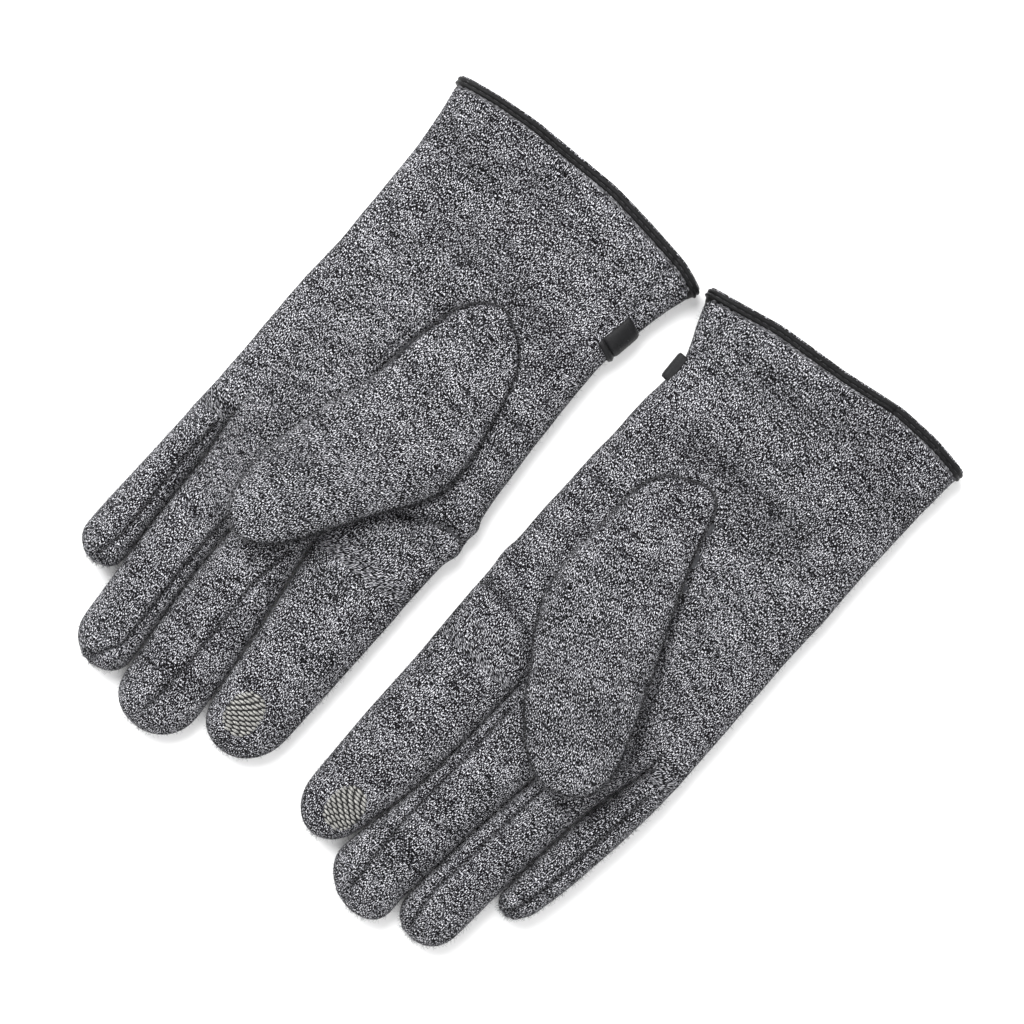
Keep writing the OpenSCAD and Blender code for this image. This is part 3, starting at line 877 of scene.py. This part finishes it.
def leather_material(name, dark, light, wear_and_highlight_amount):
    """Grained leather with creases and scuffs, paler where it is worn and where a highlight is painted
    on.
    """
    g = Graph(name)
    at = g.object_at()
    cells = g.node("TexVoronoi", "Distance", {"Scale": 1900, "Vector": at}, feature="DISTANCE_TO_EDGE")
    grain = g.math("MINIMUM", cells * 5.0, 1.0)
    creases, scuff = g.noise(at, 420, 3.0, 0.6), g.noise(at, 90, 3.0, 0.6)
    # paler by wear, and on the binding's ridges by a painted highlight
    tone = scuff * 0.5 + grain * 0.2 + g.attribute("wear_and_highlight") * wear_and_highlight_amount
    colour = g.ramp(tone, [(0.25, dark), (0.7, light), (1.0, tuple(2.2 * c for c in light))])
    g.bump(grain * 0.5 + creases * 1.2, 0.16 * MM, 0.7)
    return g.finish(colour, scuff * 0.25 + 0.34, Specular_IOR_Level=0.16)


def yarn_material(name, stops, scale=1500):
    """Twisted yarn of fine fibres."""
    g = Graph(name)
    at = g.object_at()
    x, y, z = g.split(at)
    twist = g.math("SINE", (x + y + z * 1.7) * 9000.0)
    fibre = g.noise(at, scale, 3.0, 0.7)
    g.bump(twist * 0.5 + fibre, 0.1 * MM, 0.8)
    return g.finish(g.ramp(twist * 0.12 + fibre, stops), 0.8, Sheen_Weight=0.15,
                    Specular_IOR_Level=0.25)


def floor_material():
    g = Graph("white_sweep")
    grain = g.noise(g.object_at(), 6.0, 2.0)
    colour = g.ramp(grain, [(0.3, (0.925, 0.925, 0.925)), (0.7, (0.935, 0.935, 0.935))])
    return g.finish(colour, 0.9, Specular_IOR_Level=0.0)


KNIT = knit_material()
FLEECE = fleece_material()
BINDING = leather_material("binding_leather", (0.001, 0.001, 0.0012), (0.005, 0.005, 0.0056), 0.4)
TAB = leather_material("tab_leather", (0.006, 0.006, 0.0066), (0.018, 0.018, 0.0195), 0.25)
PAD = yarn_material("conductive_yarn", [
    (0.3, (0.09, 0.089, 0.084)), (0.5, (0.27, 0.266, 0.25)), (0.75, (0.55, 0.54, 0.515))])
PAD_DARK = yarn_material("conductive_ground", [
    (0.3, (0.002, 0.002, 0.002)), (0.7, (0.016, 0.016, 0.015))])
THREAD = yarn_material("sewing_thread", [(0.3, (0.006, 0.006, 0.007)), (0.7, (0.03, 0.03, 0.033))])
FUZZ = yarn_material("loose_fibre", [
    (0.3, (0.06, 0.06, 0.066)), (0.5, (0.2, 0.2, 0.21)), (0.7, (0.5, 0.5, 0.52))], 400)


# ------------------------------------------------------------ threads and trims
def strands(paths, radius, sides=6, round_ends=True):
    """Closed tubes along paths of points; returns points and faces. radius may vary along a path."""
    points, faces = [], []
    for path in paths:
        path = np.asarray(path, float)
        n = len(path)
        r = np.broadcast_to(np.asarray(radius(n) if callable(radius) else radius, float), (n,))
        tangent = unit(np.gradient(path, axis=0))
        ref = np.array([0.0, 0.0, 1.0])
        if abs(tangent[0] @ ref) > 0.9:
            ref = np.array([1.0, 0.0, 0.0])
        a = unit(np.cross(tangent, ref))
        b = np.cross(tangent, a)
        ang = 2 * np.pi * np.arange(sides) / sides
        base = len(points)
        for k in range(n):
            for c in ang:
                points.append(path[k] + r[k] * (math.cos(c) * a[k] + math.sin(c) * b[k]))
        for k in range(n - 1):
            for c in range(sides):
                e = (c + 1) % sides
                faces.append((base + k * sides + c, base + k * sides + e,
                              base + (k + 1) * sides + e, base + (k + 1) * sides + c))
        first, last = len(points), len(points) + 1
        lift = 0.6 if round_ends else 0.05
        points.append(path[0] - tangent[0] * r[0] * lift)
        points.append(path[-1] + tangent[-1] * r[-1] * lift)
        for c in range(sides):
            e = (c + 1) % sides
            faces.append((base + e, base + c, first))
            faces.append((base + (n - 1) * sides + c, base + (n - 1) * sides + e, last))
    return np.array(points), faces


def shell(part, rows, cols, low, high):
    """A closed piece that lies over a patch of a skin, from low to high above it."""
    patch = np.ix_(rows, cols)
    p, out = rings(part)[patch], rings(part, "normals")[patch]
    fall = np.minimum(np.minimum(from_end(len(rows))[:, None], from_end(len(cols))) / 2.0, 1)
    up = mix(0.35, 1.0, np.sqrt(1 - (1 - fall) ** 2))[..., None]
    return closed_sheet(p + out * (low + (high - low) * up), p + out * low)


def cuff_ring(hand):
    """The mouth's ring of points with its outward directions in the plane of the mouth."""
    ring = rings(hand)[1]
    ahead = np.roll(ring, -1, 0) - np.roll(ring, 1, 0)
    out = unit(np.stack([ahead[:, 2], np.zeros(len(ring)), -ahead[:, 0]], 1))
    return ring, -out if ((ring - ring.mean(0)) * out).sum() < 0 else out


def even_ring(ring, out, count):
    """The same ring at even steps."""
    closed, far = np.vstack([ring, ring[:1]]), np.vstack([out, out[:1]])
    walk = walked(closed)
    want = np.linspace(0, walk[-1], count, endpoint=False)
    return sampled(want, walk, closed), unit(sampled(want, walk, far)), want


def binding_points(at, way, walk, seed):
    """The binding's section carried round the mouth, with the leather's ripples."""
    out, along = np.array(BIND_PROFILE).T
    flat = walk * 0
    ripple = 0.10 * lumps(walk, flat + 3, 3.1, seed) + 0.05 * lumps(walk, flat, 1.3, seed + 1)
    wander = 0.25 * lumps(walk, flat + 9, 17, seed + 2)
    away = out + ripple[:, None] * (1 - np.clip(-out / 2.5, 0, 1))
    back = along + wander[:, None] * (along > 1.2) * (out > -0.5) * 0.6
    return at[:, None] + way[:, None] * away[..., None] + np.array([0, 1.0, 0]) * back[..., None]


def make_binding(g, hand):
    """The leather folded over the mouth's edge, its lap and its stitches."""
    at, way, walk = even_ring(*cuff_ring(hand), BIND_STEPS)
    p = binding_points(at, way, walk, g["seed"] + 60)
    n, m = p.shape[:2]
    # wear and the painted highlight on the ridges, varied along the binding
    wear_and_highlight = np.tile(BIND_WEAR_AND_HIGHLIGHT, n) * (0.6 + 0.4 * np.repeat(lumps(walk, walk * 0, 5, g["seed"]), m))
    binding = make("binding", p.reshape(-1, 3), ring_faces(n + 1, m) % (n * m), g, BINDING,
                   {"wear_and_highlight": wear_and_highlight}, closed=True)
    on_hand(binding, g, "binding_leather", "cuff_binding")
    make_lap(g, at, way, p)
    make_stitches(g, at, way, walk)


def make_lap(g, at, way, p):
    """The lap where the binding's ends meet: one more layer over the outer part of its section."""
    take = [k for k in range(len(at)) if abs(at[k, 0] - LAP_X) < LAP_HALF
            and (way[k, 2] > 0.5) == g["lap_up"] and abs(way[k, 2]) > 0.5]
    q, out = p[take][:, :LAP_POINTS], way[take][:, None]
    rise = np.minimum(from_end(len(take)) / 2.0, 1)[:, None, None]
    pts, faces = closed_sheet(q + 0.42 * rise**0.5 * out + np.array([0, -0.25, 0]) * rise,
                              q - 0.25 * out)
    lap = make("lap", pts, faces, g, BINDING, {"wear_and_highlight": np.full(len(pts), 0.5)}, closed=True)
    on_hand(lap, g, "binding_leather", "binding_lap")


def make_stitches(g, at, way, walk):
    """Stitches in the groove between the binding's two ridges."""
    groove = at + way * 0.42 + np.array([0, 1.3, 0])
    total = walk[-1] + walk[1]
    pitch = total / round(total / STITCH_PITCH)
    arch = 0.12 * np.sin(np.linspace(0, math.pi, 7)) - 0.05
    paths = []
    for start in np.arange(0, total - pitch / 2, pitch):
        along = (start + np.linspace(0, STITCH_LONG, 7)) % total
        paths.append(sampled(along, walk, groove) + sampled(along, walk, way) * arch[:, None])
    stitches = make("stitches", *strands(paths, 0.17), g, THREAD, closed=True)
    on_hand(stitches, g, "thread", "binding_stitches")


def fuzz(part, count, seed, lowest=-2.0):
    """Loose fibres that stand out of a skin where it faces higher than lowest."""
    rng = np.random.default_rng(seed)
    pick = rng.integers(part["n"], len(part["p"]) - part["n"], 3 * count)
    # more of them where the surface turns away, as its outline shows them
    steep = 1 - np.abs(part["normals"][pick, 2])
    pick = pick[rng.uniform(0, 1, len(pick)) < 0.12 + 0.6 * steep][:count]
    pick = pick[part["normals"][pick, 2] > lowest]
    s = np.linspace(0, 1, 3)[:, None]
    paths = []
    for p, out in zip(part["p"][pick], part["normals"][pick]):
        side = unit(np.cross(out, rng.normal(size=3)))
        reach, lean, curl = rng.uniform(0.9, 2.6), rng.uniform(0.1, 1.2), rng.uniform(-0.6, 0.6)
        way = unit(out + lean * side)
        turn = np.cross(way, side)
        path = p - out * 0.1 + reach * (way * s + curl * turn * s**2 - 0.25 * out * s**2)
        path[:, 2] = np.maximum(path[:, 2], 0.1)
        paths.append(path)
    return strands(paths, lambda n: np.linspace(0.05, 0.025, n), 3, False)


def make_seam(g, part, f):
    """Short threads that cross a finger's seam."""
    line = g["seams"][f]
    x_of = course(line, 6)
    p = rings(part)[:, :COLS + 1]
    paths = []
    for y in np.arange(line[0][0] + 2, line[-1][0] - 2, 2.3):
        x = float(x_of(y))
        row = p[int(np.argmin(np.abs(p[:, COLS // 2, 1] - y)))]
        if row[0, 0] < x < row[-1, 0]:
            s = np.linspace(-0.75, 0.75, 5)
            across = x + 0.45 * s
            paths.append(np.stack([across, y + s, np.interp(across, row[:, 0], row[:, 2]) + 0.12], 1))
    seam = make(FINGERS[f] + "_seam", *strands(paths, 0.17, 5), g, THREAD)
    bend_finger(seam, g, f)


def make_thumb_seam(g, hand):
    """The drawn-in line of thread where the thumb's root is sewn to the palm."""
    rim = spline(thumb_rim(g), 160)
    flat = rings(hand)[:, :4 * COLS + 1].reshape(-1, 3)
    path = []
    for k, (x, y) in enumerate(rim):
        d = (flat[:, 0] - x) ** 2 + (flat[:, 1] - y) ** 2
        close = np.argsort(d)[:4]
        z = float(np.average(flat[close, 2], weights=1 / (d[close] + 0.05)))
        path.append((x, y, z + 0.12 + 0.08 * math.sin(k * 2.2)))
    paths = [path[k:k + 10] for k in range(0, len(path), 10)]
    on_hand(make("thumb_seam", *strands(paths, 0.3, 5), g, THREAD), g, "thread")


def make_lining(g, hand):
    """The fleece inside the hand, seen through the cuff: an inner skin closed at its far end."""
    take = np.ix_(range(1, hand["rows"] - 24, 3), range(0, hand["n"], 4))
    p, out = rings(hand)[take], rings(hand, "normals")[take]
    inner = p - out * (KNIT_DEPTH + 0.35)
    inner[..., 2] = np.clip(inner[..., 2], FLOOR_Z + 2.2, PALM_TOP - 2.0)
    rng = np.random.default_rng(g["seed"])
    inner = inner + out * rng.uniform(-0.15, 0.15, inner.shape[:2])[..., None]
    r, c = inner.shape[:2]
    size = r * c
    pts = np.concatenate([(p - out * 1.2).reshape(-1, 3), inner.reshape(-1, 3)])
    faces = [tuple(f) for f in ring_faces(r, c)]
    faces += [tuple(k + size for k in f[::-1]) for f in faces]
    faces += [(j, (j + 1) % c, (j + 1) % c + size, j + size) for j in range(c)]
    faces += cap((r - 1) * c, c) + [f[::-1] for f in cap((r - 1) * c + size, c)]
    lining = make("lining", pts, faces, g, FLEECE, closed=True)
    on_hand(lining, g, "lining", "hand_lining", "finger_linings")


def make_flat_tab(g, hand):
    """A strap folded flat over the seam, with the ridge of its fold above it."""
    ring_y = rings(hand)[:, 0, 1]
    x_top = rings(hand)[int(np.argmin(np.abs(ring_y - 41))), :2 * COLS, 0]
    last = np.flatnonzero(x_top < -38.5)[-1] - 2
    for label, y0, y1, first, low, high, wear_and_highlight, nodes in (
            ("tab", 32, 45.5, -9, 0.25, 1.35, 0.2, ["loop_tab"]),
            ("tab_fold", 44.2, 47.6, -8, 0.6, 1.75, 0.45, [])):
        rows = [k for k in range(hand["rows"]) if y0 <= ring_y[k] <= y1]
        cols = [k % hand["n"] for k in range(first, last)]
        pts, faces = shell(hand, rows, cols, low, high)
        tab = make(label, pts, faces, g, TAB, {"wear_and_highlight": np.full(len(pts), wear_and_highlight)}, closed=True)
        on_hand(tab, g, "tab_leather", *nodes)


def make_loop_tab(g):
    """A strap that stands out of the seam in a small loop."""
    x0 = float(course(g["edge"], 12)(LOOP_Y)) + 1.2
    line = []
    for s in np.linspace(0, 1, 25):
        if s < 0.35:
            line.append((-LOOP_REACH * s / 0.35, LOOP_HALF))
        elif s <= 0.65:
            a = math.pi * (s - 0.35) / 0.3
            line.append((-LOOP_REACH - 1.1 * math.sin(a), LOOP_HALF * math.cos(a)))
        else:
            line.append((-LOOP_REACH * (1 - s) / 0.35, -LOOP_HALF))
    line = np.array(line)
    way = unit(np.gradient(line, axis=0))
    out = np.stack([way[:, 1], -way[:, 0]], 1)
    if out[12, 0] > 0:
        out = -out
    across = np.linspace(-5.4, 5.4, 15)
    fall = np.sqrt(1 - (1 - np.minimum(from_end(15) / 2.0, 1)) ** 2)
    layers = []
    for thick in (0.55, -0.55):
        o = line[:, None] + out[:, None] * (thick * (0.3 + 0.7 * fall))[:, None]
        y = np.broadcast_to(LOOP_Y + across, o.shape[:2])
        layers.append(np.stack([x0 + 0.05 * across + o[..., 0], y, 7.2 + o[..., 1]], -1))
    pts, faces = closed_sheet(*layers)
    tab = make("tab", pts, faces, g, TAB, {"wear_and_highlight": np.full(len(pts), 0.3)}, closed=True)
    on_hand(tab, g, "tab_leather", "loop_tab")


def make_pad(g, part):
    """The darned patch on the index fingertip: a thin ground with leaning strands of yarn over it."""
    cx, cy = g["tips"][0][0] + g["pad"][0], g["tips"][0][1] + g["pad"][1]
    p = rings(part)[:, :COLS + 1].reshape(-1, 3)
    close = p[np.hypot(p[:, 0] - cx, p[:, 1] - cy) < 15]

    def surface(x, y):
        d = (close[:, 0] - x) ** 2 + (close[:, 1] - y) ** 2
        k = np.argsort(d)[:6]
        w = 1 / (d[k] + 0.05)
        return float((close[k, 2] * w).sum() / w.sum())

    for label, mat, (pts, faces), nodes in (
            ("pad_ground", PAD_DARK, pad_ground(cx, cy, surface), ["touch_pad"]),
            ("pad_yarn", PAD, pad_yarn(g, cx, cy, surface), [])):
        piece = make(label, pts, faces, g, mat, closed=True)
        bend_finger(piece, g, 0)
        dress(piece, g, "conductive_yarn", *nodes)


def pad_ground(cx, cy, surface):
    """A thin closed disc that follows the fingertip."""
    count, spokes = 9, 40
    pts = [(cx, cy, surface(cx, cy) + 0.42)]
    low = [(cx, cy, surface(cx, cy) - 0.4)]
    for q in np.arange(1, count + 1) / count:
        for a in 2 * math.pi * np.arange(spokes) / spokes:
            wob = 1 + 0.05 * math.sin(3 * a + 1) + 0.02 * math.sin(11 * a)
            x, y = cx + PAD_WIDE * q * wob * math.cos(a), cy + PAD_LONG * q * wob * math.sin(a)
            z = surface(x, y)
            pts.append((x, y, z + 0.42 * math.sqrt(max(1 - q**6, 0)) + 0.02))
            low.append((x, y, z - 0.4))
    size, rim = len(pts), 1 + (count - 1) * spokes
    faces = []
    for s in range(spokes):
        e = (s + 1) % spokes
        for layer, sign in ((0, 1), (size, -1)):
            faces.append((layer, layer + 1 + s, layer + 1 + e)[::sign])
            for a in range(layer + 1, layer + rim, spokes):
                faces.append((a + s, a + spokes + s, a + spokes + e, a + e)[::sign])
        faces.append((rim + s, rim + s + size, rim + e + size, rim + e))
    return np.array(pts + low), faces


def pad_yarn(g, cx, cy, surface):
    """Rows of short plump stitches, each row half a stitch on from the last."""
    rng = np.random.default_rng(g["seed"] + 5)
    paths = []
    for row, off in enumerate(np.arange(-PAD_LONG + 0.7, PAD_LONG - 0.4, PAD_PITCH)):
        span = PAD_WIDE * max(1 - abs(off / PAD_LONG) ** 2.6, 0) ** 0.5
        start = -span + (row % 2) * PAD_STITCH / 2 - PAD_STITCH / 2 + rng.uniform(-0.2, 0.2)
        while start < span - 0.7:
            end, begin = min(start + PAD_STITCH, span + 0.3), max(start, -span - 0.2)
            path = []
            for s in np.linspace(0, 1, 6):
                x = cx + mix(begin, end, s)
                y = cy + off + 0.14 * (x - cx - (start + end) / 2) + rng.uniform(-0.05, 0.05)
                path.append((x, y, surface(x, y) + 0.30 + 0.30 * math.sin(math.pi * s)))
            if end - begin > 0.8:
                paths.append(path)
            start = start + PAD_STITCH + 0.25
    return strands(paths, lambda n: 0.47 * np.sin(np.linspace(0.12, math.pi - 0.12, n)) ** 0.8)


# ------------------------------------------------------------ one whole glove
def knit_tube(g, part, label, follow, nodes, hairs, seed, lowest=-2.0):
    """A finger or the thumb: its closed knit skin and its loose fibres, each handed to follow."""
    faces = [*part["faces"], *cap((part["rows"] - 1) * part["n"], part["n"])]
    tube = make(label + "_knit", part["p"], faces, g, KNIT,
                {"dark": part["dark"], "pale": part["dark"] * 0}, part["uv"], part["normals"])
    follow(tube)
    dress(tube, g, "knit", *nodes)
    hair = make(label + "_fuzz", *fuzz(part, hairs, g["seed"] + seed, lowest), g, FUZZ)
    follow(hair)


def build_glove(g):
    set_frame(g)
    parts = build_skin(g)
    shared_normals(parts)
    roughen(g, parts)
    knit_place(parts)
    shared_normals(parts)

    hand = parts["hand"]
    mouth = hand["p"][:, 1] - cuff_line(g, hand["p"][:, 0])
    skin = make("hand_knit", hand["p"], hand["faces"], g, KNIT,
                {"dark": hand["dark"], "pale": 0.45 * falloff(mouth - 3.5, 0.6)},
                hand["uv"], hand["normals"])
    on_hand(skin, g, "knit", "palm_panel", "back_panel")

    for f, finger in enumerate(FINGERS):
        nodes = [finger + "_stall", finger + "_tip", finger + "_tip_lining"]
        if f:
            nodes.append(f"fourchette_{f}")
        knit_tube(g, parts[finger], finger, lambda obj: bend_finger(obj, g, f), nodes,
                  FINGER_HAIRS, 70 + f)
        if g["seams"][f]:
            make_seam(g, parts[finger], f)
    on_hand(make("hand_fuzz", *fuzz(hand, HAND_HAIRS, g["seed"] + 80), g, FUZZ), g, "knit")
    knit_tube(g, thumb_skin(g), "thumb", lambda obj: bend_thumb(obj, g),
              ["thumb_gusset", "thumb", "thumb_lining", "gusset_lining"], THUMB_HAIRS, 90, -0.2)

    make_thumb_seam(g, hand)
    make_binding(g, hand)
    make_lining(g, hand)
    if g["tab"] == "flat":
        make_flat_tab(g, hand)
    else:
        make_loop_tab(g)
    make_pad(g, parts["index"])


for glove in (LEFT, RIGHT):
    build_glove(glove)

# --------------------------------------------------------------------------- floor, light, camera
bpy.ops.mesh.primitive_plane_add(size=6, location=(0, 0, -0.0002))
floor = bpy.context.object
floor.name = "floor"
floor.data.materials.append(floor_material())


def area_light(name, at, size, energy):
    """A round soft light that faces the middle of the table."""
    light = bpy.data.lights.new(name, "AREA")
    light.shape = "DISK"
    light.size = size
    light.energy = energy
    obj = bpy.data.objects.new(name, light)
    obj.location = at
    obj.rotation_euler = (-Vector(at)).to_track_quat("-Z", "Y").to_euler()
    bpy.context.scene.collection.objects.link(obj)


area_light("key", (0.95, -0.55, 1.15), 1.5, 48)
area_light("fill", (-0.9, 0.7, 1.5), 1.6, 14)
world = bpy.data.worlds.new("studio")
world.use_nodes = True
world.node_tree.nodes["Background"].inputs[0].default_value = (1, 1, 1, 1)
world.node_tree.nodes["Background"].inputs[1].default_value = 0.75
bpy.context.scene.world = world
bpy.context.scene.view_settings.view_transform = "Standard"

camera = bpy.data.cameras.new("camera")
camera.lens = 100
camera.sensor_width = 36
camera_obj = bpy.data.objects.new("camera", camera)
camera_obj.location = (0.00145, -0.01585, 1.034)
camera_obj.rotation_euler = (0, 0, math.radians(218.1))
bpy.context.scene.collection.objects.link(camera_obj)
bpy.context.scene.camera = camera_obj

bpy.context.view_layer.update()
